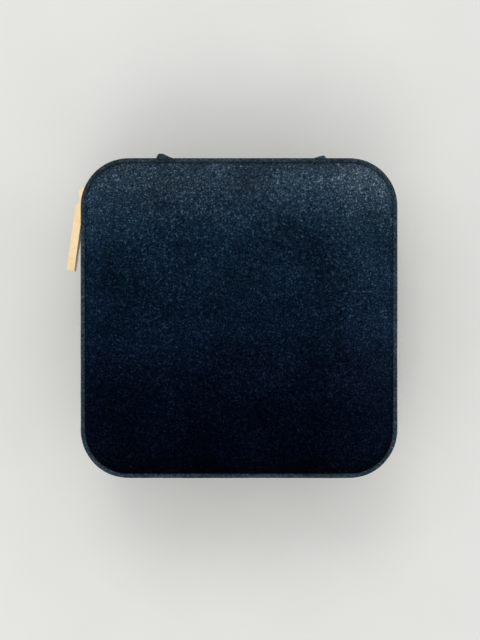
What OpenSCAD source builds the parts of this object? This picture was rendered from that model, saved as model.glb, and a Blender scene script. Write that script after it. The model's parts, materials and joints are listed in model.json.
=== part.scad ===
// Square zip-round travel jewelry case: two board shells covered in velvet, piping round the lid
// and the base, a cloth hinge panel at the back, a metal zip round the other sides, a mirror in
// the lid, and ring rolls and lift-out dividers in the base.
// +Z is up, +Y is the hinge side, and the origin is the centre of the underside.

/* [Case] */
// Width over the piping
case_w = 100; // [96:1:130]
// Depth, front to back, over the piping
case_d = 101; // [96:1:130]
// Height with the lid closed
case_h = 50; // [48:1:60]
// Corner radius over the piping
corner_r = 15; // [14:1:20]
// Height of the zip's centre line, which is also the height of the hinge axis
zip_z = 26; // [24:0.5:28]

/* [Walls] */
// Diameter of the piping
pipe_d = 2; // [1.8:0.1:2.2]
// Thickness of the velvet on the walls
cover_t = 0.8; // [0.6:0.1:0.9]
// Thickness of the board shells
board_t = 1.8; // [1.6:0.1:1.9]
// Thickness of the inner lining walls
liner_t = 1.8; // [1.6:0.1:2]
// Width of the cloth hinge panel
hinge_w = 53; // [40:1:60]

/* [Zip] */
// Height of the band between the two velvet edges
band_h = 9; // [9:0.5:11]
// Distance from one tooth to the next in a row
tooth_pitch = 2.2; // [2.2:0.1:3]
// Width of one tooth along the row
tooth_w = 0.96; // [0.8:0.02:1]
// Length of the pull from its pivot
pull_len = 20.5; // [16:0.1:26]
// Width of the pull's broad face
pull_w = 5; // [4.4:0.1:6]
// Thickness of the pull
pull_t = 2.6; // [2:0.1:2.6]
// How far the pull stands off the wall at rest, in degrees
pull_tilt = 7.8; // [4:0.1:12]

/* [Inside] */
// Height of the ring rolls and dividers above the floor pad
insert_h = 15.5; // [14:0.5:16]
// Half the opening that the mirror shows through
mirror_half = 36; // [30:1:38]

/* [Hidden] */
$fn = 64;

velvet = "midnightblue";
lining = "darkslateblue";
board = "burlywood";
gold = "gold";
tape = "navy";
eps = 0.02;
gap = 0.2;
fit = 0.1;
roll_count = 7;

// Insets are measured inwards from the outline over the piping.
pipe_r = pipe_d / 2;
cover_in = 1;
board_in = cover_in + cover_t;
liner_in = board_in + board_t;
cavity_in = liner_in + liner_t;
lip_in = liner_in + 0.6;
floor_in = pipe_d + 0.1;
chain_in = 1.5;
tape_t = 0.6;
panel_t = 1.2;
hinge_lining_t = 0.8;
pipe_skin = 0.5;
cord_r = pipe_r - pipe_skin - 0.05;
lip_h = 1;
hinge_y = case_d / 2 - board_in + panel_t;

// Heights.
band_low = zip_z - band_h / 2;
band_high = zip_z + band_h / 2;
skin_t = 1;
pipe_low_z = 0.3 + pipe_r;
pipe_high_z = case_h - 0.5 - pipe_r;
base_wall_z = pipe_low_z + pipe_r;
lid_wall_z = pipe_high_z - pipe_r;
pad_z = 3;
pad_t = 1.2;
insert_z = pad_z + pad_t;
top_board_z = case_h - 2.8;
padding_t = 1.6;
padding_in = floor_in + 3.4;
backing_z = top_board_z - board_t - 1.2;
mirror_t = 1.6;
mirror_z = backing_z - mirror_t;
frame_z = mirror_z - 0.8;

// Zip: a row of teeth on each tape, and the slider that runs on them along the left wall.
tape_gap = 3;
tooth_t = 2.2;
tooth_reach = 0.8;
tooth_root = 2.9;
chain_start = 35.5;
lid_lag = 2.5 * tooth_pitch;
slider_tail = 31.5;
slider_nose = 43.8;
slider_inner_nose = 39.5;
plate_t = 1.2;
bail_h = 3.6;
bail_tail_h = 2.4;
bail_front = 1.4;
pivot_y = 36.2;
pivot_x = -(case_w / 2 + 3.4);
pin_r = 0.75;
pin_clear = 0.05;
bail_w = 2.6;
fork_slot = 6.2;
fork_clear = 0.15;
pull_chamfer = 0.9;

// The slider's plates and wedge; the half heights are measured from the zip's centre line.
plate_tail_h = 3.4;
plate_wide_h = 4;
plate_inner_wide_h = 3.9;
plate_taper = 4;
plate_shoulder = 2;
plate_nose_cut = 1.9;
plate_inner_t = 0.9;
plate_inner_in = 2.9;
wedge_w = 2.2;
wedge_back = 2.7;
slider_lip = 0.5;
slider_lip_t = 0.3;
slider_lip_len = 5;
slider_lip_z = 3.3;

// The stops at both ends of the zip.
stop_w = 2.4;
stop_t = 2;
stop_edge = 0.35;
stop_out = 4;

// Corner centres, path lengths and positions along the zip.
corner_x = case_w / 2 - corner_r;
corner_y = case_d / 2 - corner_r;
chain_r = corner_r - chain_in;
quarter = chain_r * PI / 2;
chain_end = 2;

// Ends of the path's stretches, in order: left wall, corner, front, corner, right wall, corner.
function path_ends() =
    let (a = chain_start + corner_y, b = a + quarter, c = b + 2 * corner_x, d = c + quarter)
    [a, b, c, d, d + 2 * corner_y, d + 2 * corner_y + quarter];

// Point on the path at distance s from its start on the left wall, as [x, y, heading].
function path_at(s) =
    let (e = path_ends())
    s < e[0] ? on_path(-corner_x, chain_start - s, -90)
    : s < e[1] ? on_path(-corner_x, -corner_y, -90 + 90 * (s - e[0]) / quarter)
    : s < e[2] ? on_path(-corner_x + s - e[1], -corner_y, 0)
    : s < e[3] ? on_path(corner_x, -corner_y, 90 * (s - e[2]) / quarter)
    : s < e[4] ? on_path(corner_x, -corner_y + s - e[3], 90)
    : s < e[5] ? on_path(corner_x, corner_y, 90 + 90 * (s - e[4]) / quarter)
    : on_path(corner_x - s + e[5], corner_y, 180);

function on_path(x, y, heading) =
    [x + chain_r * sin(heading), y - chain_r * cos(heading), heading];

// Rounded rectangle, inset from the outline over the piping.
module outline(inset) {
    w = case_w - 2 * inset;
    d = case_d - 2 * inset;
    r = max(corner_r - inset, 2);
    square([w - 2 * r, d], center = true);
    square([w, d - 2 * r], center = true);
    for (x = [-1, 1], y = [-1, 1])
        translate([x * (w / 2 - r), y * (d / 2 - r)]) circle(r);
}

module slab(inset, z0, z1) {
    translate([0, 0, z0]) linear_extrude(z1 - z0) outline(inset);
}

module wall(outer, inner, z0, z1) {
    difference() {
        slab(outer, z0, z1);
        slab(inner, z0 - 1, z1 + 1);
    }
}

// A wall that stops at both sides of the hinge panel.
module open_wall(outer, inner, z0, z1) {
    difference() {
        wall(outer, inner, z0, z1);
        translate([-hinge_w / 2, 0, z0 - 1]) cube([hinge_w, case_d, z1 - z0 + 2]);
    }
}

// A round section carried round the case; hole_r makes it a tube.
module round_ring(r, hole_r, inset, z) {
    x = case_w / 2 - inset;
    y = case_d / 2 - inset;
    bend = corner_r - inset;
    difference() {
        round_bar(r, x, y, bend, z);
        if (hole_r > 0) round_bar(hole_r, x, y, bend, z);
    }
}

module round_bar(r, x, y, bend, z) {
    for (i = [0:3]) {
        across = i % 2 == 0 ? x : y;
        along = i % 2 == 0 ? y - bend : x - bend;
        rotate(90 * i) {
            translate([across, 0, z]) rotate([90, 0, 0]) cylinder(r = r, h = 2 * along, center = true);
            translate([across - bend, along, z])
                rotate_extrude(angle = 90) translate([bend, 0]) circle(r);
        }
    }
}

module hinge_strip(y0, y1, z0, z1) {
    translate([-hinge_w / 2, y0, z0]) cube([hinge_w, y1 - y0, z1 - z0]);
}

// Base.
module base_board() {
    color(board) slab(floor_in, skin_t, pad_z);
}

module base_shell() {
    color(board) wall(board_in, liner_in, pad_z, band_low);
}

module base_cover() {
    color(velvet) open_wall(cover_in, board_in, base_wall_z, band_low);
}

module base_panel() {
    color(velvet) slab(pipe_d, 0, skin_t);
}

module base_piping() {
    color(velvet) round_ring(pipe_r, pipe_r - pipe_skin, pipe_r, pipe_low_z);
}

module base_piping_cord() {
    color("white") round_ring(cord_r, 0, pipe_r, pipe_low_z);
}

module base_liner() {
    color(lining) {
        wall(liner_in, cavity_in, pad_z, band_low);
        wall(lip_in, cavity_in, band_low - lip_h, zip_z - gap);
    }
}

module floor_pad() {
    color(lining) slab(cavity_in + fit, pad_z, insert_z);
}

module hinge_panel_lower() {
    color(velvet) hinge_strip(hinge_y - panel_t, hinge_y, base_wall_z, zip_z - gap);
}

module hinge_lining_lower() {
    color(lining)
        hinge_strip(hinge_y - panel_t - hinge_lining_t, hinge_y - panel_t, band_low, zip_z - gap);
}

module zip_tape_base() {
    color(tape) {
        open_wall(board_in - tape_t, board_in, band_low, zip_z - tape_gap / 2);
        plain_tape(zip_z - tape_gap / 2, zip_z - gap / 2);
    }
}

// The tape's edge where it carries no teeth, between the slider and the stops.
module plain_tape(z0, z1) {
    intersection() {
        wall(board_in - tape_t, board_in, z0 - eps, z1 + eps);
        translate([-case_w / 2, slider_inner_nose + 1.5, z0])
            cube([case_w / 2 - hinge_w / 2 - 5.5, case_d, z1 - z0]);
    }
}

// One tooth on a tape above it: the head reaches past the centre line, the cheeks grip the tape.
module tooth() {
    difference() {
        translate([-tooth_w / 2, -tooth_t / 2, -tooth_reach])
            cube([tooth_w, tooth_t, tooth_root + tooth_reach]);
        translate([-tooth_w, -tape_t / 2 - eps, tape_gap / 2])
            cube([2 * tooth_w, tape_t + 2 * eps, tooth_root]);
    }
}

// A row of teeth; side is 1 for the lid's row and -1 for the base's.
module tooth_row(side, first) {
    length = path_ends()[5] + chain_end;
    for (k = [0:floor((length - first) / tooth_pitch)]) {
        p = path_at(first + k * tooth_pitch);
        translate([p[0], p[1], zip_z]) rotate([side > 0 ? 0 : 180, 0, p[2]]) tooth();
    }
}

module zip_teeth_base() {
    color(gold) tooth_row(-1, 0);
}

module zip_teeth_lid() {
    color(gold) tooth_row(1, lid_lag);
}

// A stop clamped on the edge of a tape, at each end of the zip.
module stop() {
    difference() {
        translate([-stop_w / 2, -stop_t / 2, stop_edge])
            cube([stop_w, stop_t, tooth_root - stop_edge]);
        translate([-stop_t, -tape_t / 2 - eps, tape_gap / 2])
            cube([2 * stop_t, tape_t + 2 * eps, tooth_root]);
    }
}

module stop_pair(side) {
    for (x = [-1, 1])
        translate([x * (hinge_w / 2 + stop_out), case_d / 2 - chain_in, zip_z])
            rotate([side > 0 ? 0 : 180, 0, 0]) stop();
}

module zip_stops_base() {
    color(gold) stop_pair(-1);
}

// Inserts of the base. room_d is the clear depth between the front and back lining.
center_t = 2;
room_d = case_d - 2 * cavity_in - 2 * gap;
insert_x = center_t / 2 + gap;

module center_divider() {
    color(lining)
        translate([-center_t / 2, -room_d / 2, insert_z]) cube([center_t, room_d, insert_h]);
}

module ring_roll(i) {
    pitch = room_d / roll_count;
    squeeze = 0.15;
    r = pitch / 2 - squeeze;
    length = case_w / 2 - cavity_in - insert_x - 0.3;
    color(lining)
        intersection() {
            translate([-insert_x - length, -room_d / 2 + pitch * (i - 0.5), insert_z])
                rotate([90, 0, 90])
                    linear_extrude(length) {
                        translate([-r, 0]) square([2 * r, insert_h - r]);
                        translate([0, insert_h - r]) circle(r);
                    }
            slab(cavity_in + gap, insert_z - 1, insert_z + insert_h + 1);
        }
}

// A lift-out cross divider between the centre divider and the right wall; side is -1 or 1.
divider_x0 = insert_x;
divider_x1 = case_w / 2 - cavity_in - 0.3;
hook_t = 0.7;
hook_low = 1.5;
hook_high = 2;
divider_t = 2.2;

function divider_y(side) = side * (case_d / 2 - cavity_in) / 3;

module cross_divider(side) {
    color(lining)
        translate([divider_x0 + hook_t, divider_y(side) - divider_t / 2, insert_z + fit])
            cube([divider_x1 - divider_x0 - 2 * hook_t, divider_t, insert_h - 0.6]);
}

module divider_hooks(side) {
    color("black")
        for (x = [divider_x0, divider_x1 - hook_t])
            translate([x, divider_y(side) - divider_t / 2 + fit, insert_z + hook_low])
                cube([hook_t, divider_t - 2 * fit, insert_h - hook_low - hook_high]);
}

// Slider: two plates joined by the wedge that parts the teeth, with lips that hold the tapes.
module plate(x0, x1, tail, nose, tail_h, wide_h) {
    wide = nose - plate_taper;
    cut_h = wide_h - plate_nose_cut;
    translate([x0, 0, zip_z])
        rotate([90, 0, 90])
            linear_extrude(x1 - x0)
                polygon([
                    [tail, -tail_h], [wide - plate_shoulder, -wide_h], [wide, -wide_h],
                    [nose, -cut_h], [nose, cut_h], [wide, wide_h],
                    [wide - plate_shoulder, wide_h], [tail, tail_h]
                ]);
}

module zip_slider() {
    outer = case_w / 2 - fit;
    inner = case_w / 2 - plate_inner_in;
    color(gold) {
        plate(-outer - plate_t, -outer, slider_tail, slider_nose, plate_tail_h, plate_wide_h);
        plate(-inner, -inner + plate_inner_t, slider_tail, slider_inner_nose,
              plate_tail_h, plate_inner_wide_h);
        translate([-outer, slider_inner_nose - wedge_back, zip_z - wedge_w / 2])
            cube([outer - inner, wedge_w, wedge_w]);
        for (z = [-1, 1], x = [-outer, -inner - slider_lip])
            translate([x, slider_tail + slider_lip, zip_z + z * slider_lip_z - slider_lip_t / 2])
                cube([slider_lip, slider_lip_len, slider_lip_t]);
    }
}

module zip_bail() {
    foot = case_w / 2 - fit + plate_t;
    color(gold)
        difference() {
            translate([0, 0, zip_z - bail_w / 2])
                linear_extrude(bail_w)
                    polygon([
                        [-foot, slider_nose], [-foot - bail_front, slider_nose],
                        [-foot - bail_tail_h, slider_nose - 1.5],
                        [-foot - bail_tail_h, pivot_y + 2.4], [-foot - bail_h, pivot_y + 1.2],
                        [-foot - bail_h, pivot_y - 1.2], [-foot - bail_h + 1, pivot_y - 2.3],
                        [-foot, pivot_y - 2.5]
                    ]);
            translate([pivot_x, pivot_y, zip_z])
                cylinder(r = pin_r + pin_clear, h = 2 * bail_w, center = true);
        }
}

// Pull: a forked bar whose cross pin turns in the bail.
module zip_pull() {
    color(gold)
        translate([pivot_x, pivot_y, zip_z])
            rotate(-pull_tilt) {
                cylinder(r = pin_r, h = pull_w - 0.2, center = true);
                difference() {
                    union() {
                        cylinder(r = pull_t / 2, h = pull_w, center = true);
                        translate([-pull_t / 2, -pull_len, -pull_w / 2])
                            cube([pull_t, pull_len, pull_w]);
                    }
                    translate([-pull_t, -fork_slot, -bail_w / 2 - fork_clear])
                        cube([2 * pull_t, fork_slot + pull_t, bail_w + 2 * fork_clear]);
                    for (z = [-1, 1])
                        translate([0, -pull_len, z * pull_w / 2])
                            rotate([45, 0, 0])
                                cube([2 * pull_t, pull_chamfer, pull_chamfer], center = true);
                }
            }
}

// Lid.
module lid_shell() {
    color(board) {
        slab(floor_in, top_board_z - board_t, top_board_z);
        wall(board_in, liner_in, band_high, top_board_z);
    }
}

module lid_cover() {
    color(velvet) open_wall(cover_in, board_in, band_high, lid_wall_z);
}

module lid_padding() {
    color("white") slab(padding_in, top_board_z, top_board_z + padding_t);
}

module lid_panel() {
    color(velvet)
        difference() {
            hull() {
                slab(floor_in, top_board_z, top_board_z + 1, $fn = 32);
                slab(floor_in + 0.8, top_board_z + 1, case_h - 0.5, $fn = 32);
                slab(floor_in + 3, case_h - 0.6, case_h, $fn = 32);
            }
            slab(padding_in - 0.1, top_board_z - 1, top_board_z + padding_t + eps);
        }
}

module lid_piping() {
    color(velvet) round_ring(pipe_r, pipe_r - pipe_skin, pipe_r, pipe_high_z);
}

module lid_piping_cord() {
    color("white") round_ring(cord_r, 0, pipe_r, pipe_high_z);
}

module lid_liner() {
    color(lining) {
        wall(liner_in, cavity_in, band_high, top_board_z - board_t);
        wall(lip_in, cavity_in, zip_z + gap, band_high + lip_h);
    }
}

module lid_backing() {
    color(lining) slab(cavity_in + fit, backing_z, top_board_z - board_t);
}

module mirror() {
    color("lightsteelblue") slab(case_w / 2 - mirror_half - 2, mirror_z, backing_z);
}

// The frame holds the mirror's edge from below; the opening through it shows the glass.
module mirror_frame() {
    color(lining)
        difference() {
            slab(cavity_in + 1.2, frame_z, backing_z);
            slab(case_w / 2 - mirror_half - 2.1, mirror_z, backing_z + 1);
            slab(case_w / 2 - mirror_half, frame_z - 1, backing_z);
        }
}

// Where the cloth hinge's side hem is folded over the piping and sewn in.
module hem_fold(x, length, proud) {
    edge = case_d / 2;
    difference() {
        translate([x, 0, 0])
            rotate([90, 0, 90])
                linear_extrude(length)
                    polygon([
                        [hinge_y - 0.3, lid_wall_z - 6], [edge + 0.1, lid_wall_z - 4],
                        [edge + proud, lid_wall_z], [edge + proud, pipe_high_z + 0.5],
                        [edge, pipe_high_z + 1.1], [hinge_y - 0.3, pipe_high_z]
                    ]);
        round_ring(pipe_r, 0, pipe_r, pipe_high_z);
    }
}

module hinge_panel_upper() {
    color(velvet) {
        hinge_strip(hinge_y - panel_t, hinge_y, zip_z + gap, lid_wall_z);
        hem_fold(-hinge_w / 2 + 0.4, 5, 1.6);
        hem_fold(hinge_w / 2 - 2.8, 3.8, 0.8);
    }
}

module hinge_lining_upper() {
    color(lining)
        hinge_strip(hinge_y - panel_t - hinge_lining_t, hinge_y - panel_t, zip_z + gap, band_high);
}

module zip_tape_lid() {
    color(tape) {
        open_wall(board_in - tape_t, board_in, zip_z + tape_gap / 2, band_high);
        plain_tape(zip_z + gap / 2, zip_z + tape_gap / 2);
    }
}

module zip_stops_lid() {
    color(gold) stop_pair(1);
}

base_board();
base_shell();
base_cover();
base_panel();
base_piping();
base_piping_cord();
base_liner();
floor_pad();
hinge_panel_lower();
hinge_lining_lower();
zip_tape_base();
zip_teeth_base();
zip_stops_base();
center_divider();
ring_roll(1);  // ring_roll_1
ring_roll(2);  // ring_roll_2
ring_roll(3);  // ring_roll_3
ring_roll(4);  // ring_roll_4
ring_roll(5);  // ring_roll_5
ring_roll(6);  // ring_roll_6
ring_roll(7);  // ring_roll_7
cross_divider(-1);  // divider_front
divider_hooks(-1);  // divider_hooks_front
cross_divider(1);  // divider_rear
divider_hooks(1);  // divider_hooks_rear
zip_slider();
zip_bail();
zip_pull();
lid_shell();
lid_cover();
lid_padding();
lid_panel();
lid_piping();
lid_piping_cord();
lid_liner();
lid_backing();
mirror();
mirror_frame();
hinge_panel_upper();
hinge_lining_upper();
zip_tape_lid();
zip_teeth_lid();
zip_stops_lid();
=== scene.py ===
"""Velvet travel jewelry case: camera, light, materials and the soft pieces around the CAD frame."""
import json
import math

import bmesh
import bpy
import numpy as np
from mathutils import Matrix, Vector


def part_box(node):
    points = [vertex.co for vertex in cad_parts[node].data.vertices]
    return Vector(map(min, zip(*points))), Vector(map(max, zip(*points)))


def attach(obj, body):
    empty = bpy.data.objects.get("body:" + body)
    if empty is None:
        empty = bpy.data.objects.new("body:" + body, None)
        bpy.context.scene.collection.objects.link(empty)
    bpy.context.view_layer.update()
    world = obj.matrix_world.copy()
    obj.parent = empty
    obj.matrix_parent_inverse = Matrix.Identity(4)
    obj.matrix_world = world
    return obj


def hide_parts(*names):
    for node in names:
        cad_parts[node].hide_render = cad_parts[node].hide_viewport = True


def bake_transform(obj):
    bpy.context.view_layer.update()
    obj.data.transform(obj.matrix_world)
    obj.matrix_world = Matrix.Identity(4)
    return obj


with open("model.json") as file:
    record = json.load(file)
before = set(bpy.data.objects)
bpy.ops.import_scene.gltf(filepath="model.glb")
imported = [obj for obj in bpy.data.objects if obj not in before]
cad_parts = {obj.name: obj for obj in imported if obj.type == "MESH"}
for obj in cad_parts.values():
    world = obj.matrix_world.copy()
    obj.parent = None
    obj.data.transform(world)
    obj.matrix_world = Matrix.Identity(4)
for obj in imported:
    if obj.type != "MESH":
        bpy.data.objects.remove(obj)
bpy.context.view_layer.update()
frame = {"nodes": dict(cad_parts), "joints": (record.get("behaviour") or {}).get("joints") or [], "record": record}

MM = 0.001
scene = bpy.context.scene
nodes = frame["nodes"]


# ---------------------------------------------------------------- sizes taken from the frame
def span(node, axis):
    low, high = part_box(node)
    return low[axis], high[axis]


half = span("lid_piping", 0)[1]
half_y = span("lid_piping", 1)[1]
stretch = half_y / half
pipe_r = (span("lid_piping", 2)[1] - span("lid_piping", 2)[0]) / 2
corner = 15 * MM
wall_in = 1.0 * MM
wall_t = 0.8 * MM
stitch_in = 1.5 * MM
back_zone = 0.04
pipe_top_z = sum(span("lid_piping", 2)) / 2
pipe_low_z = sum(span("base_piping", 2)) / 2
bead_r = 0.75 * pipe_r
bead_z = span("lid_cover", 2)[1] + bead_r - 0.15 * MM
hinge = next(j for j in frame["joints"] if j["name"] == "lid_hinge")
hinge_pos = Vector(hinge["pos_m"])


# ---------------------------------------------------------------- camera and light
def add_camera():
    pixels_per_mm = 3.175
    height = 0.35
    data = bpy.data.cameras.new("camera")
    data.sensor_width = 36
    image_height = 640
    data.lens = pixels_per_mm * height / MM / image_height * data.sensor_width
    data.clip_start = 0.01
    camera = bpy.data.objects.new("camera", data)
    camera.location = (0.31 * MM, -0.6 * MM, pipe_top_z + height)
    scene.collection.objects.link(camera)
    scene.camera = camera


def add_light(name, place, aim, size, power, colour=(1, 1, 1)):
    data = bpy.data.lights.new(name, "AREA")
    data.shape = "DISK"
    data.size = size
    data.energy = power
    data.color = colour
    lamp = bpy.data.objects.new(name, data)
    lamp.location = place
    lamp.rotation_euler = (Vector(aim) - Vector(place)).to_track_quat("-Z", "Y").to_euler()
    lamp.visible_camera = False
    scene.collection.objects.link(lamp)


def add_studio():
    add_light("key_back", (-0.1, 0.7, 1.0), (0, 0, 0.02), 0.5, 2.8, (1.0, 0.985, 0.965))
    add_light("key_front", (-0.12, -0.65, 1.0), (0, 0, 0.02), 0.5, 1.9, (1.0, 0.985, 0.965))
    world = bpy.data.worlds.new("studio")
    world.use_nodes = True
    back = world.node_tree.nodes["Background"]
    back.inputs["Color"].default_value = (1.0, 1.0, 0.99, 1)
    back.inputs["Strength"].default_value = 0.91
    scene.world = world
    scene.view_settings.view_transform = "Standard"


# ---------------------------------------------------------------- materials
def new_material(name):
    material = bpy.data.materials.new(name)
    material.use_nodes = True
    tree = material.node_tree
    return material, tree, tree.nodes["Principled BSDF"]


def noise(tree, scale, detail=3.0, stretch=(1, 1, 1)):
    """Noise in the object's own coordinates; scale is the number of features per metre."""
    where = tree.nodes.new("ShaderNodeTexCoord")
    mapping = tree.nodes.new("ShaderNodeMapping")
    mapping.inputs["Scale"].default_value = stretch
    texture = tree.nodes.new("ShaderNodeTexNoise")
    texture.inputs["Scale"].default_value = scale
    texture.inputs["Detail"].default_value = detail
    tree.links.new(where.outputs["Object"], mapping.inputs["Vector"])
    tree.links.new(mapping.outputs["Vector"], texture.inputs["Vector"])
    return texture


def ramp(tree, source, low, high, start=0.35, end=0.65):
    node = tree.nodes.new("ShaderNodeValToRGB")
    node.color_ramp.elements[0].position = start
    node.color_ramp.elements[0].color = (*low, 1)
    node.color_ramp.elements[1].position = end
    node.color_ramp.elements[1].color = (*high, 1)
    tree.links.new(source, node.inputs["Fac"])
    return node


def mix_colours(tree, kind, factor, first, second):
    node = tree.nodes.new("ShaderNodeMix")
    node.data_type = "RGBA"
    node.blend_type = kind
    node.inputs[0].default_value = factor
    tree.links.new(first, node.inputs[6])
    tree.links.new(second, node.inputs[7])
    return node.outputs[2]


def add_bump(tree, shader, height, distance, strength=1.0, chain=None):
    bump = tree.nodes.new("ShaderNodeBump")
    bump.inputs["Strength"].default_value = strength
    bump.inputs["Distance"].default_value = distance
    tree.links.new(height, bump.inputs["Height"])
    if chain is not None:
        tree.links.new(chain.outputs["Normal"], bump.inputs["Normal"])
    tree.links.new(bump.outputs["Normal"], shader.inputs["Normal"])
    return bump


def painted_light_ramp(tree, axis, stops):
    """Painted light: a painted shade across the case along one axis, from 0 to 1, standing for how the light falls
    on the lid.
    """
    where = tree.nodes.new("ShaderNodeTexCoord")
    parts = tree.nodes.new("ShaderNodeSeparateXYZ")
    tree.links.new(where.outputs["Object"], parts.inputs[0])
    along = tree.nodes.new("ShaderNodeMapRange")
    along.inputs["From Min"].default_value = -half
    along.inputs["From Max"].default_value = half
    tree.links.new(parts.outputs[axis], along.inputs["Value"])
    shade = tree.nodes.new("ShaderNodeValToRGB")
    shade.color_ramp.interpolation = "LINEAR"
    elements = shade.color_ramp.elements
    while len(elements) < len(stops):
        elements.new(0.5)
    for element, (place, value) in zip(elements, stops):
        element.position = place
        element.color = (*value, 1)
    tree.links.new(along.outputs["Result"], shade.inputs["Fac"])
    return shade.outputs["Color"]


def velvet(name, dark, light, tip, sheen=0.2, grain=2000, depth=0.3, gloss=0.05, paint_lid_light=False):
    """Short-pile velvet: bright fibre tips over soft clumps and broad patches of turned nap."""
    material, tree, shader = new_material(name)
    pile = noise(tree, grain, 2.0)
    clumps = noise(tree, grain * 0.4, 2.0)
    nap = noise(tree, 60, 3.0)
    tone = tree.nodes.new("ShaderNodeMath")
    tone.operation = "MULTIPLY_ADD"
    tone.inputs[1].default_value = 0.35
    tree.links.new(clumps.outputs["Fac"], tone.inputs[0])
    tree.links.new(pile.outputs["Fac"], tone.inputs[2])
    speckle = ramp(tree, tone.outputs[0], dark, light, 0.5, 0.78)
    bright = speckle.color_ramp.elements.new(0.9)
    bright.color = (*tip, 1)
    patches = ramp(tree, nap.outputs["Fac"], (0.66, 0.66, 0.66), (1.3, 1.3, 1.3), 0.3, 0.7)
    colour = mix_colours(tree, "MULTIPLY", 1.0, speckle.outputs["Color"], patches.outputs["Color"])
    # Painted light: the lid's colour is multiplied by painted highlight and shade gradients along Y and X.
    if paint_lid_light:
        colour = mix_colours(tree, "MULTIPLY", 1.0, colour, painted_light_ramp(tree, "Y", LID_PAINTED_LIGHT_Y))
        colour = mix_colours(tree, "MULTIPLY", 1.0, colour, painted_light_ramp(tree, "X", LID_PAINTED_LIGHT_X))
    tree.links.new(colour, shader.inputs["Base Color"])
    shader.inputs["Roughness"].default_value = 0.62
    shader.inputs["Specular IOR Level"].default_value = gloss
    shader.inputs["Sheen Weight"].default_value = sheen
    shader.inputs["Sheen Roughness"].default_value = 0.35
    shader.inputs["Sheen Tint"].default_value = (0.42, 0.6, 0.85, 1)
    fold = add_bump(tree, shader, nap.outputs["Fac"], 0.3 * MM, 0.4)
    add_bump(tree, shader, pile.outputs["Fac"], depth * MM, 0.8, fold)
    return material


def woven(name, low, high, pitch=0.45 * MM, sheen=0.1):
    """A plain weave, as on the zip's tapes and under the velvet."""
    material, tree, shader = new_material(name)
    waves = []
    for axis in ("X", "Y", "Z"):
        wave = tree.nodes.new("ShaderNodeTexWave")
        wave.bands_direction = axis
        wave.inputs["Scale"].default_value = 0.32 / pitch
        wave.inputs["Distortion"].default_value = 0.6
        where = tree.nodes.new("ShaderNodeTexCoord")
        tree.links.new(where.outputs["Object"], wave.inputs["Vector"])
        waves.append(wave.outputs["Fac"])
    total = tree.nodes.new("ShaderNodeMath")
    total.operation = "MULTIPLY_ADD"
    total.inputs[1].default_value = 0.5
    tree.links.new(waves[0], total.inputs[0])
    tree.links.new(waves[2], total.inputs[2])
    both = tree.nodes.new("ShaderNodeMath")
    both.operation = "MULTIPLY_ADD"
    both.inputs[1].default_value = 0.5
    tree.links.new(waves[1], both.inputs[0])
    tree.links.new(total.outputs[0], both.inputs[2])
    colour = ramp(tree, both.outputs[0], low, high, 0.3, 1.5)
    tree.links.new(colour.outputs["Color"], shader.inputs["Base Color"])
    shader.inputs["Roughness"].default_value = 0.85
    shader.inputs["Specular IOR Level"].default_value = 0.2
    shader.inputs["Sheen Weight"].default_value = sheen
    add_bump(tree, shader, both.outputs[0], 0.08 * MM, 0.8)
    return material


def plated_metal(name, colour, worn, roughness):
    """Plated metal with fine polishing marks and duller, slightly darker handling wear."""
    material, tree, shader = new_material(name)
    smudge = noise(tree, 260, 4.0)
    marks = noise(tree, 900, 2.0, (1, 0.08, 1))
    tint = ramp(tree, smudge.outputs["Fac"], worn, colour, 0.3, 0.6)
    tree.links.new(tint.outputs["Color"], shader.inputs["Base Color"])
    shader.inputs["Metallic"].default_value = 1.0
    rough = tree.nodes.new("ShaderNodeMapRange")
    rough.inputs["To Min"].default_value = roughness * 0.7
    rough.inputs["To Max"].default_value = roughness * 1.5
    tree.links.new(smudge.outputs["Fac"], rough.inputs["Value"])
    tree.links.new(rough.outputs["Result"], shader.inputs["Roughness"])
    add_bump(tree, shader, marks.outputs["Fac"], 0.02 * MM, 0.25)
    return material


def pressed_board(name, low, high):
    material, tree, shader = new_material(name)
    fibre = noise(tree, 700, 6.0, (1, 0.3, 1))
    tint = ramp(tree, fibre.outputs["Fac"], low, high, 0.3, 0.7)
    tree.links.new(tint.outputs["Color"], shader.inputs["Base Color"])
    shader.inputs["Roughness"].default_value = 0.9
    add_bump(tree, shader, fibre.outputs["Fac"], 0.05 * MM, 0.5)
    return material


def silvered_glass(name):
    material, tree, shader = new_material(name)
    haze = noise(tree, 40, 3.0)
    tint = ramp(tree, haze.outputs["Fac"], (0.86, 0.89, 0.9), (0.93, 0.95, 0.95), 0.3, 0.7)
    tree.links.new(tint.outputs["Color"], shader.inputs["Base Color"])
    shader.inputs["Metallic"].default_value = 1.0
    rough = tree.nodes.new("ShaderNodeMapRange")
    rough.inputs["To Min"].default_value = 0.01
    rough.inputs["To Max"].default_value = 0.05
    tree.links.new(haze.outputs["Fac"], rough.inputs["Value"])
    tree.links.new(rough.outputs["Result"], shader.inputs["Roughness"])
    return material


def thread_material(name, low, high):
    material, tree, shader = new_material(name)
    twist = tree.nodes.new("ShaderNodeTexWave")
    twist.bands_direction = "DIAGONAL"
    twist.inputs["Scale"].default_value = 1500
    where = tree.nodes.new("ShaderNodeTexCoord")
    tree.links.new(where.outputs["Object"], twist.inputs["Vector"])
    tint = ramp(tree, twist.outputs["Fac"], low, high, 0.2, 0.8)
    tree.links.new(tint.outputs["Color"], shader.inputs["Base Color"])
    shader.inputs["Roughness"].default_value = 0.6
    shader.inputs["Sheen Weight"].default_value = 0.2
    add_bump(tree, shader, twist.outputs["Fac"], 0.04 * MM, 0.6)
    return material
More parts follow.
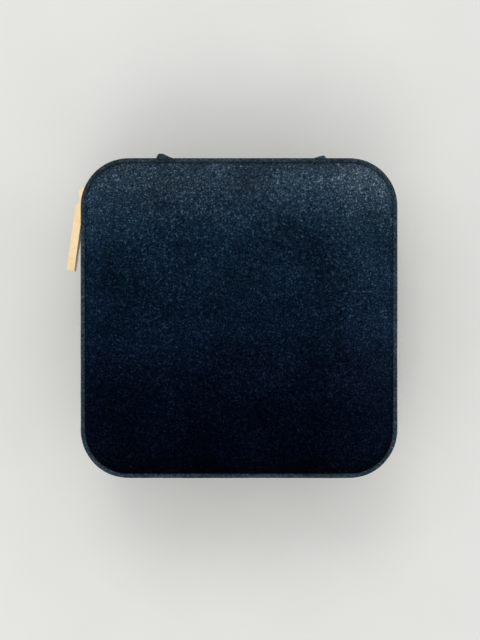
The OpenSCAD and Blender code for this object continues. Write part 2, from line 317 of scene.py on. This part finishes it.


# Painted light on the lid: painted highlight towards its hinge side and a little along its side edges, painted
# shade towards the front.
LID_PAINTED_LIGHT_Y = (
    (0.0, (0.018, 0.02, 0.03)),
    (0.07, (0.03, 0.04, 0.08)),
    (0.2, (0.035, 0.05, 0.1)),
    (0.35, (0.07, 0.1, 0.18)),
    (0.5, (0.105, 0.18, 0.285)),
    (0.65, (0.15, 0.25, 0.35)),
    (0.73, (0.17, 0.28, 0.39)),
    (0.8, (0.28, 0.42, 0.52)),
    (0.87, (0.53, 0.63, 0.73)),
    (0.92, (0.81, 0.87, 0.9)),
    (1.0, (1, 1, 1)),
)
LID_PAINTED_LIGHT_X = (
    (0.0, (0.6, 0.6, 0.6)),
    (0.1, (0.42, 0.42, 0.42)),
    (0.75, (0.42, 0.42, 0.42)),
    (0.9, (0.76, 0.66, 0.6)),
    (1.0, (1, 0.88, 0.8)),
)

materials = {
    "velvet": velvet("velvet", (0.0008, 0.0024, 0.006), (0.0045, 0.0105, 0.021),
                     (0.022, 0.04, 0.06), 0.12),
    # The lid's velvet carries the painted highlight and shade gradients.
    "lid_velvet": velvet("lid_velvet", (0.0115, 0.028, 0.055), (0.07, 0.122, 0.18),
                         (0.34, 0.42, 0.48), 0.1, gloss=0.0, paint_lid_light=True),
    "piping": velvet("piping", (0.006, 0.013, 0.02), (0.024, 0.042, 0.058),
                     (0.06, 0.085, 0.11), sheen=0.15),
    "cord": woven("cord", (0.5, 0.48, 0.43), (0.78, 0.76, 0.7), 0.8 * MM),
    "board": pressed_board("board", (0.3, 0.24, 0.17), (0.5, 0.42, 0.32)),
    "foam": woven("foam", (0.6, 0.59, 0.55), (0.85, 0.84, 0.8), 1.2 * MM),
    "roll_velvet": velvet("roll_velvet", (0.003, 0.008, 0.018), (0.016, 0.032, 0.058),
                          (0.04, 0.065, 0.1)),
    "lining": velvet("lining", (0.004, 0.009, 0.02), (0.018, 0.036, 0.066),
                     (0.04, 0.065, 0.1), depth=0.2),
    "hook_tape": woven("hook_tape", (0.004, 0.005, 0.01), (0.03, 0.035, 0.05), 0.9 * MM),
    "zip_tape": woven("zip_tape", (0.004, 0.009, 0.02), (0.02, 0.04, 0.075)),
    "zip_metal": plated_metal("zip_metal", (0.9, 0.66, 0.34), (0.62, 0.42, 0.19), 0.2),
    "gold": plated_metal("gold", (1.0, 0.79, 0.49), (0.95, 0.69, 0.38), 0.17),
    "mirror": silvered_glass("mirror"),
    "thread": thread_material("thread", (0.006, 0.012, 0.025), (0.03, 0.055, 0.09)),
}


def paint_frame():
    for part in frame["record"]["subparts"]:
        item = nodes[part["node"]]
        item.data.materials.clear()
        item.data.materials.append(materials[part["material_slot"]])


def round_edges(node, width, segments=3):
    """Breaks the sharp edges of a CAD node with a modifier."""
    item = nodes[node]
    bevel = item.modifiers.new("edges", "BEVEL")
    bevel.width = width
    bevel.segments = segments
    bevel.limit_method = "ANGLE"
    bevel.angle_limit = math.radians(35)
    bevel.harden_normals = False


# ---------------------------------------------------------------- mesh helpers
def make_piece(name, verts, faces, slot, body=None, replaces=(), material=None, smooth=True):
    mesh = bpy.data.meshes.new(name)
    mesh.from_pydata([tuple(v) for v in verts], [], [tuple(f) for f in faces])
    mesh.validate()
    mesh.polygons.foreach_set("use_smooth", [smooth] * len(mesh.polygons))
    item = bpy.data.objects.new(name, mesh)
    scene.collection.objects.link(item)
    mesh.materials.append(materials[material or slot])
    work = bmesh.new()
    work.from_mesh(mesh)
    bmesh.ops.recalc_face_normals(work, faces=work.faces)
    work.to_mesh(mesh)
    work.free()
    if replaces:
        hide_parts(*replaces)
    if body:
        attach(item, body)
    return item


def subdivide(item, levels=1):
    modifier = item.modifiers.new("smooth", "SUBSURF")
    modifier.levels = levels
    modifier.render_levels = levels


def outline(inset, side_steps=36, corner_steps=14):
    """Points round the case at an inset, each with its outward direction: (x, y, nx, ny)."""
    reach = half - inset
    radius = max(corner - inset, 0.6 * MM)
    centre = reach - radius
    points = []
    for quarter in range(4):
        turn = quarter * math.pi / 2
        local = []
        for i in range(side_steps):
            local.append((reach, -centre + 2 * centre * i / side_steps, 1, 0))
        for i in range(corner_steps):
            angle = math.pi / 2 * i / corner_steps
            nx, ny = math.cos(angle), math.sin(angle)
            local.append((centre + radius * nx, centre + radius * ny, nx, ny))
        c, s = math.cos(turn), math.sin(turn)
        for x, y, nx, ny in local:
            points.append((c * x - s * y, (s * x + c * y) * stretch,
                           c * nx - s * ny, s * nx + c * ny))
    return points


def sheet_faces(steps):
    """Faces of a square sheet: two layers of a grid, joined round the border."""
    row = steps + 1
    size = row * row
    faces = []
    for j in range(steps):
        for i in range(steps):
            a = j * row + i
            faces.append((a, a + 1, a + row + 1, a + row))
            faces.append((size + a, size + a + row, size + a + row + 1, size + a + 1))
    border = list(range(row))
    border += [j * row + steps for j in range(1, row)]
    border += [steps * row + i for i in range(steps - 1, -1, -1)]
    border += [j * row for j in range(steps - 1, 0, -1)]
    for a, b in zip(border, border[1:] + border[:1]):
        faces.append((a, b, size + b, size + a))
    return faces


def strip_faces(rows, columns):
    """Faces of a thick strip: two layers of rows by columns, closed along all four edges."""
    count = columns + 1
    layer = (rows + 1) * count
    faces = []
    for j in range(rows):
        for i in range(columns):
            a = j * count + i
            faces.append((a, a + 1, a + count + 1, a + count))
            faces.append((layer + a, layer + a + count, layer + a + count + 1, layer + a + 1))
    for i in range(columns):
        for j in (0, rows):
            a = j * count + i
            faces.append((a, a + 1, a + 1 + layer, a + layer))
    for j in range(rows):
        for i in (0, columns):
            a, b = j * count + i, (j + 1) * count + i
            faces.append((a, b, b + layer, a + layer))
    return faces


def ripple(*terms):
    """A smooth, repeatable wobble between about -1 and 1."""
    return sum(math.sin(a + 0.7 * i) for i, a in enumerate(terms)) / max(len(terms), 1)


def inflate(item, pinned, pressure, cap, frames=20):
    """Blows up a closed or pinned cloth with a simulation and keeps the result in its mesh."""
    mesh = item.data
    count = len(mesh.vertices)
    before = np.empty(count * 3)
    mesh.vertices.foreach_get("co", before)
    group = item.vertex_groups.new(name="pinned")
    group.add([int(i) for i in pinned], 1.0, "REPLACE")
    cloth = item.modifiers.new("cloth", "CLOTH")
    settings = cloth.settings
    settings.use_pressure = True
    settings.uniform_pressure_force = pressure
    settings.effector_weights.gravity = 0
    settings.vertex_group_mass = "pinned"
    settings.tension_stiffness = 12
    settings.bending_stiffness = 0.6
    settings.quality = 6
    cloth.point_cache.frame_start = 1
    cloth.point_cache.frame_end = frames
    for step in range(1, frames + 1):
        scene.frame_set(step)
    shape = item.evaluated_get(bpy.context.evaluated_depsgraph_get()).to_mesh()
    after = np.empty(count * 3)
    shape.vertices.foreach_get("co", after)
    item.modifiers.remove(cloth)
    item.vertex_groups.remove(group)
    move = (after - before).reshape(-1, 3)
    length = np.linalg.norm(move, axis=1, keepdims=True)
    move *= np.minimum(1.0, cap / np.maximum(length, 1e-9))
    mesh.vertices.foreach_set("co", (before.reshape(-1, 3) + move).ravel())
    mesh.update()
    scene.frame_set(1)


# ---------------------------------------------------------------- the lid's padded velvet top
def square_ray(direction, reach, radius):
    """Distance from the centre of a rounded square to its edge along a direction."""
    a, b = sorted((abs(direction[0]), abs(direction[1])), reverse=True)
    centre = reach - radius
    if reach * b / a <= centre:
        return reach / a
    return centre * (a + b) + math.sqrt(max(radius ** 2 - (centre * (a - b)) ** 2, 0))


def lid_top():
    low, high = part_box("lid_panel")
    under = 0.3 * MM
    reach = half - wall_in
    radius = corner - (half - reach)
    steps = 60
    edge_z = low[2] + 0.3 * MM
    shoulder = 1.7 * MM
    top_z = high[2] - 0.4 * MM
    verts, rim = [], []
    for layer in (0, 1):
        for j in range(steps + 1):
            for i in range(steps + 1):
                u, v = 2 * i / steps - 1, 2 * j / steps - 1
                m = max(abs(u), abs(v))
                if m < 1e-9:
                    x = y = 0.0
                    depth = reach
                else:
                    size = math.hypot(u, v)
                    ray = square_ray((u / size, v / size), reach, radius)
                    x, y = u / size * ray * m, v / size * ray * m * stretch
                    depth = reach * (1 - m)
                if layer:
                    z = edge_z - 0.25 * MM
                else:
                    rise = 1 - (1 - min(max(depth - under, 0) / (shoulder * 2.2), 1)) ** 2.6
                    rise = rise ** 0.6
                    crown = 1 - (m ** 2)
                    z = edge_z + (top_z - edge_z) * rise + 0.3 * MM * crown
                    z += 0.05 * MM * ripple(x * 160, y * 130, (x + y) * 90) * min(1, depth / 0.01)
                if m > 0.999 and not layer:
                    rim.append(len(verts))
                verts.append((x, y, z))
    item = make_piece("lid_top_velvet", verts, sheet_faces(steps), "velvet", None,
                      ("lid_panel",), "lid_velvet")
    layer = len(verts) // 2
    inflate(item, rim + list(range(layer, 2 * layer)), 3.0, 0.45 * MM)
    subdivide(item)
    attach(item, "lid")


# ---------------------------------------------------------------- piping
def piping(name, node, body, z, bead, seed):
    """Cloth sewn over a cord: a round bead with small puckers, more of them round the corners."""
    path = outline(bead)
    around = 16
    verts = []
    for k, (x, y, nx, ny) in enumerate(path):
        bend = abs(nx * ny) * 2
        pucker = 0.05 + 0.1 * bend + (0.08 if y < 0 else 0)
        wobble = ripple(k * 1.9 + seed, k * 0.83, k * 0.31)
        size = bead * (0.985 - pucker * 0.5 + pucker * 0.5 * wobble)
        for j in range(around):
            angle = 2 * math.pi * j / around
            out, up = math.cos(angle) * size, math.sin(angle) * size
            verts.append((x + nx * out, y + ny * out, z + up))
    faces = []
    count = len(path)
    for k in range(count):
        for j in range(around):
            n, m = (k + 1) % count, (j + 1) % around
            faces.append((k * around + j, n * around + j, n * around + m, k * around + m))
    item = make_piece(name, verts, faces, "piping", body, (node, node + "_cord"))
    subdivide(item)


# ---------------------------------------------------------------- velvet round the walls
def wall_velvet(name, node, body, piping_side, seed):
    """The velvet wall: open at the hinge panel, a little full, turned in at the zip and sewn
    under the piping at its other edge (piping_side 1 is above, -1 below)."""
    low, high = (Vector(corner_point) for corner_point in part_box(node))
    seam = 0.35 * MM
    if piping_side > 0:
        high.z += seam
    else:
        low.z -= seam
    gap_half = span("hinge_panel_lower", 0)[1] - 0.1 * MM
    path = [p for p in outline(wall_in) if not (p[1] > back_zone and abs(p[0]) < gap_half)]
    start = next(
        k for k, (x, y, _, _) in enumerate(path)
        if y > back_zone and -gap_half - 0.003 < x < 0
    )
    path = path[start:] + path[:start]
    back = half_y - wall_in
    path = [(-gap_half, back, 0, 1)] + path + [(gap_half, back, 0, 1)]
    rows = 18
    verts = []
    for side in (0, 1):
        for j in range(rows + 1):
            t = j / rows
            z = low[2] + (high[2] - low[2]) * t
            from_zip = (t if piping_side > 0 else 1 - t) * (high[2] - low[2])
            tuck = 0.45 * MM * (1 - min(1, from_zip / (1.1 * MM))) ** 2
            for k, (x, y, nx, ny) in enumerate(path):
                full = 0.16 * MM * math.sin(math.pi * t)
                full += 0.07 * MM * ripple(k * 0.21 + seed, t * 5.0 + k * 0.05, k * 0.47 - t * 3)
                out = -wall_t if side else full * math.sin(math.pi * t) ** 0.5 - tuck
                verts.append((x + nx * out, y + ny * out, z))
    faces = strip_faces(rows, len(path) - 1)
    item = make_piece(name, verts, faces, "velvet", body, (node,))
    subdivide(item)
    return path


def stitches(name, body, path, z, out):
    """A row of thread stitches along the path, each a small rounded dash."""
    verts, faces = [], []
    length = [0.0]
    for a, b in zip(path, path[1:]):
        length.append(length[-1] + math.hypot(b[0] - a[0], b[1] - a[1]))
    pitch, dash, thick = 2.7 * MM, 1.9 * MM, 0.17 * MM
    xs = np.array([p[0] for p in path])
    ys = np.array([p[1] for p in path])
    nxs = np.array([p[2] for p in path])
    nys = np.array([p[3] for p in path])
    rings, sides = 5, 6
    for n in range(int(length[-1] / pitch)):
        start = n * pitch + 0.4 * MM
        base = len(verts)
        for r in range(rings):
            t = r / (rings - 1)
            s = start + dash * t
            x, y = np.interp(s, length, xs), np.interp(s, length, ys)
            nx, ny = np.interp(s, length, nxs), np.interp(s, length, nys)
            size = thick * (0.35 + 0.65 * math.sin(math.pi * t))
            lift = out + 0.08 * MM * math.sin(math.pi * t) - 0.05 * MM
            for j in range(sides):
                angle = 2 * math.pi * j / sides
                reach = lift + size * math.cos(angle)
                verts.append((x + nx * reach, y + ny * reach, z + size * math.sin(angle)))
        for r in range(rings - 1):
            for j in range(sides):
                a, b = base + r * sides + j, base + r * sides + (j + 1) % sides
                faces.append((a, b, b + sides, a + sides))
        faces.append(tuple(base + j for j in range(sides))[::-1])
        faces.append(tuple(base + (rings - 1) * sides + j for j in range(sides)))
    make_piece(name, verts, faces, "velvet", body, material="thread")


# ---------------------------------------------------------------- cloth hinge
def hinge_cloth():
    """One strip of velvet from the base's piping to the lid's, with its side hems folded under."""
    low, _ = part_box("hinge_panel_lower")
    x_low, x_high = span("hinge_panel_lower", 0)
    y_in, y_out = low[1], span("hinge_panel_lower", 1)[1]
    top = pipe_top_z - pipe_r
    columns, rows = 56, 64
    hem = 5.0 * MM
    verts = []
    for side in (0, 1):
        for j in range(rows + 1):
            t = j / rows
            z = low[2] + (top - low[2]) * t
            near = math.exp(-((z - hinge_pos[2]) / (2.2 * MM)) ** 2)
            for i in range(columns + 1):
                x = x_low + (x_high - x_low) * i / columns
                edge = min(x - x_low, x_high - x)
                fold = 0.42 * MM * (1 - 1 / (1 + math.exp(-(edge - hem) / (0.3 * MM))))
                fold -= 0.3 * MM * max(0, 1 - edge / (0.7 * MM)) ** 2
                crease = -0.45 * MM * near * (1 + 0.3 * ripple(x * 400, x * 230))
                wrinkle = 0.12 * MM * ripple(x * 210 + z * 60, x * 90 - z * 240, x * 330)
                wrinkle *= math.exp(-((z - hinge_pos[2]) / (9 * MM)) ** 2)
                pile = 0.02 * MM * ripple(x * 700, z * 600)
                y = y_in if side else y_out + fold + crease + wrinkle + pile
                verts.append((x, y, z))
    item = make_piece("hinge_velvet", verts, strip_faces(rows, columns), "velvet", None,
                      ("hinge_panel_lower", "hinge_panel_upper"))
    subdivide(item)
    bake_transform(item)
    for name, x0, length, proud in (
        ("hinge_fold_left", x_low + 0.4 * MM, 5.0 * MM, 1.6 * MM),
        ("hinge_fold_right", x_high - 2.8 * MM, 3.8 * MM, 0.8 * MM),
    ):
        hem_fold(name, x0, length, proud, y_out)


def hem_fold(name, x0, length, proud, y_out):
    """The hem's doubled cloth where it rolls over the piping into the seam."""
    columns, rows = 16, 20
    arc_low, arc_high = -80, 82
    centre_y = half_y - bead_r
    verts = []
    for side in (0, 1):
        for i in range(columns + 1):
            u = i / columns
            along = u if name.endswith("left") else 1 - u
            swell = math.sin(min(1, along / 0.22) * math.pi / 2) * (1 - along) ** 0.9
            skew = 1.25 - 0.12 * math.sin(9 * u)
            x = x0 + length * u
            for j in range(rows + 1):
                t = j / rows
                angle = math.radians(arc_low + (arc_high - arc_low) * t)
                bulge = math.cos(math.radians(-40 + 110 * t)) ** 0.7
                thick = proud * swell * skew * max(bulge, 0.1) * (1 + 0.12 * ripple(u * 19, t * 17))
                reach = bead_r + 0.02 * MM + (0 if side else max(thick, 0.03 * MM))
                verts.append((x, centre_y + reach * math.cos(angle),
                              bead_z + reach * math.sin(angle)))
    faces = strip_faces(columns, rows)
    item = make_piece(name, verts, faces, "velvet", "lid", material="piping")
    subdivide(item)


def hinge_lining():
    low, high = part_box("hinge_lining_lower")
    top = span("hinge_lining_upper", 2)[1]
    columns, rows = 40, 16
    verts = []
    for side in (0, 1):
        for j in range(rows + 1):
            z = low[2] + (top - low[2]) * j / rows
            for i in range(columns + 1):
                x = low[0] + (high[0] - low[0]) * i / columns
                y = (high[1] - 0.05 * MM) if side else low[1] + 0.06 * MM * ripple(x * 300, z * 500)
                verts.append((x, y, z))
    item = make_piece("hinge_lining_cloth", verts, strip_faces(rows, columns), "lining", None,
                      ("hinge_lining_lower", "hinge_lining_upper"))
    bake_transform(item)


# ---------------------------------------------------------------- padded inserts
def ring_roll(number):
    """A foam roll in velvet, round on top and drawn in at its ends, simulated under pressure."""
    node = f"ring_roll_{number}"
    low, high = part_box(node)
    centre_y = (low[1] + high[1]) / 2
    slack = 0.45 * MM
    radius = (high[1] - low[1]) / 2 - slack
    length = high[0] - low[0] - 2 * slack
    columns, around = 26, 28
    rise = high[2] - low[2] - radius - slack
    verts = []
    for i in range(columns + 1):
        u = i / columns
        end = min(u, 1 - u) * length
        draw = 1 - 0.34 * max(0, 1 - end / (3.2 * MM)) ** 2
        x = low[0] + slack + length * u
        for j in range(around):
            angle = 2 * math.pi * j / around
            c, s = math.cos(angle), math.sin(angle)
            y = centre_y + radius * draw * math.copysign(abs(c) ** (0.8 if s < 0 else 1.0), c)
            if s >= 0:
                z = low[2] + rise + radius * s * draw
            else:
                z = low[2] + rise * (1 - abs(s) ** 0.55)
            verts.append((x, y, z))
    faces = []
    for i in range(columns):
        for j in range(around):
            k = (j + 1) % around
            a, b = i * around, (i + 1) * around
            faces.append((a + j, b + j, b + k, a + k))
    faces.append(tuple(range(around)))
    faces.append(tuple(columns * around + j for j in range(around))[::-1])
    item = make_piece(f"ring_roll_velvet_{number}", verts, faces, "roll_velvet", None, (node,))
    pinned = [k for k, v in enumerate(verts) if v[2] < low[2] + 1.5 * MM]
    inflate(item, pinned, 4.0, 0.4 * MM, 12)
    subdivide(item)
    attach(item, "base")


def padded_panel(name, node, body, slot, edge, steps=(24, 4, 14)):
    """A velvet-covered board with rounded edges, filling the box of its CAD node."""
    low, high = (Vector(v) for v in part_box(node))
    size = high - low
    work = bmesh.new()
    bmesh.ops.create_cube(work, size=1.0)
    for v in work.verts:
        v.co = Vector((low[k] + (v.co[k] + 0.5) * size[k] for k in range(3)))
    bmesh.ops.bevel(work, geom=list(work.edges), offset=edge, segments=4, profile=0.5,
                    affect="EDGES")
    for axis in range(3):
        for n in range(1, steps[axis]):
            place = Vector((0, 0, 0))
            place[axis] = low[axis] + size[axis] * n / steps[axis]
            normal = Vector((0, 0, 0))
            normal[axis] = 1
            geometry = list(work.verts) + list(work.edges) + list(work.faces)
            bmesh.ops.bisect_plane(work, geom=geometry, plane_co=place, plane_no=normal)
    mesh = bpy.data.meshes.new(name)
    for v in work.verts:
        a, b = (v.co[0] - low[0]) / size[0], (v.co[2] - low[2]) / size[2]
        wobble = 0.05 * MM * ripple(v.co[0] * 300, v.co[2] * 260, v.co[1] * 280)
        across = math.sin(math.pi * min(max(a, 0), 1))
        up = math.sin(math.pi * min(max(b, 0), 1))
        v.co[1] += wobble * across * up
    work.to_mesh(mesh)
    work.free()
    mesh.polygons.foreach_set("use_smooth", [True] * len(mesh.polygons))
    mesh.materials.append(materials[slot])
    item = bpy.data.objects.new(name, mesh)
    scene.collection.objects.link(item)
    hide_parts(node)
    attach(item, body)
    return item


def floor_velvet():
    """The floor pad: a soft sheet with rounded edges and a slight wave."""
    low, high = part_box("floor_pad")
    reach = high[0] - 0.05 * MM
    radius = corner - (half - reach)
    steps = 48
    verts = []
    for layer in (0, 1):
        for j in range(steps + 1):
            for i in range(steps + 1):
                u, v = 2 * i / steps - 1, 2 * j / steps - 1
                m = max(abs(u), abs(v))
                x = y = 0.0
                if m > 1e-9:
                    size = math.hypot(u, v)
                    ray = square_ray((u / size, v / size), reach, radius)
                    x, y = u / size * ray * m, v / size * ray * m * stretch
                edge = min(1, (1 - m) * reach / (1.5 * MM))
                wave = 0.06 * MM * ripple(x * 240, y * 200, (x - y) * 150)
                z = low[2] if layer else high[2] - 0.35 * MM * (1 - edge) ** 2 - 0.08 * MM + wave
                verts.append((x, y, z))
    item = make_piece("floor_velvet", verts, sheet_faces(steps), "roll_velvet", "base",
                      ("floor_pad",))


# ---------------------------------------------------------------- floor of the studio
def add_floor():
    material, tree, shader = new_material("studio_floor")
    grain = noise(tree, 30, 2.0)
    tint = ramp(tree, grain.outputs["Fac"], (0.67, 0.675, 0.66), (0.69, 0.695, 0.68), 0.3, 0.7)
    tree.links.new(tint.outputs["Color"], shader.inputs["Base Color"])
    shader.inputs["Roughness"].default_value = 0.8
    mesh = bpy.data.meshes.new("studio_floor")
    mesh.from_pydata([(-3, -3, 0), (3, -3, 0), (3, 3, 0), (-3, 3, 0)], [], [(0, 1, 2, 3)])
    mesh.materials.append(material)
    floor = bpy.data.objects.new("studio_floor", mesh)
    scene.collection.objects.link(floor)


add_camera()
add_studio()
add_floor()
paint_frame()

for gold_node, edge in (("zip_pull", 0.35), ("zip_bail", 0.25), ("zip_slider", 0.18)):
    round_edges(gold_node, edge * MM)
for metal_node in ("zip_teeth_base", "zip_teeth_lid", "zip_stops_base", "zip_stops_lid"):
    round_edges(metal_node, 0.16 * MM, 2)
for board_node in ("base_liner", "lid_liner", "lid_backing", "mirror_frame", "base_panel"):
    round_edges(board_node, 0.4 * MM)
round_edges("mirror", 0.7 * MM, 1)

lid_top()
piping("lid_piping_cloth", "lid_piping", "lid", bead_z, bead_r, 0.0)
piping("base_piping_cloth", "base_piping", "base", pipe_low_z, pipe_r, 2.0)
lid_path = wall_velvet("lid_wall_velvet", "lid_cover", "lid", 1, 0.0)
base_path = wall_velvet("base_wall_velvet", "base_cover", "base", -1, 3.0)
stitches("lid_stitches", "lid", lid_path, span("lid_cover", 2)[0] + stitch_in, 0.0)
stitches("base_stitches", "base", base_path, span("base_cover", 2)[1] - stitch_in, 0.0)
hinge_cloth()
hinge_lining()
floor_velvet()
for roll in range(1, 8):
    ring_roll(roll)
padded_panel("center_divider_velvet", "center_divider", "base", "lining", 0.8 * MM, (3, 36, 12))
padded_panel("divider_front_velvet", "divider_front", "divider_front", "lining", 0.9 * MM)
padded_panel("divider_rear_velvet", "divider_rear", "divider_rear", "lining", 0.9 * MM)
